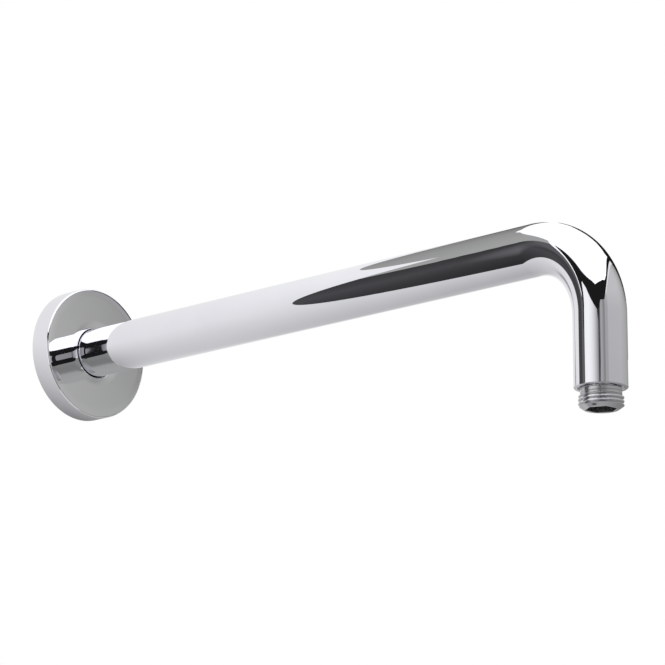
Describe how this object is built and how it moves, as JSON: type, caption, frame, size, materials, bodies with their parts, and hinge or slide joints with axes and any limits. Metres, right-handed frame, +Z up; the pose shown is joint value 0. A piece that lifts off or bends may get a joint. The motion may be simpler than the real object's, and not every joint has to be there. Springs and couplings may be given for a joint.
{
  "type": "shower arm",
  "caption": "Chrome wall-mounted shower arm: a straight round tube that bends down at its end, with a slip-on round wall flange and a threaded hex-socket outlet nipple.",
  "frame": {"origin": "on the tube's axis in the plane of the wall that the flange rests against", "axes": "+X out of the wall along the straight run, +Z up, the outlet points down -Z"},
  "size_m": [0.378, 0.068, 0.1155],
  "materials": {
    "polished_chrome": "mirror-polished chrome plate on brass",
    "satin_nickel": "satin nickel plate on turned brass",
    "seal_rubber": "matte black moulded rubber"
  },
  "bodies": {
    "arm": {"arm_tube": "polished_chrome", "inlet_nipple": "satin_nickel", "outlet_nipple": "satin_nickel"},
    "flange": {"wall_flange": "polished_chrome", "flange_o_ring": "seal_rubber"}
  },
  "joints": [
    {"name": "flange_slide", "type": "slide", "parent": "arm", "child": "flange", "axis": [1, 0, 0], "range_m": [0, 0.3]}
  ]
}
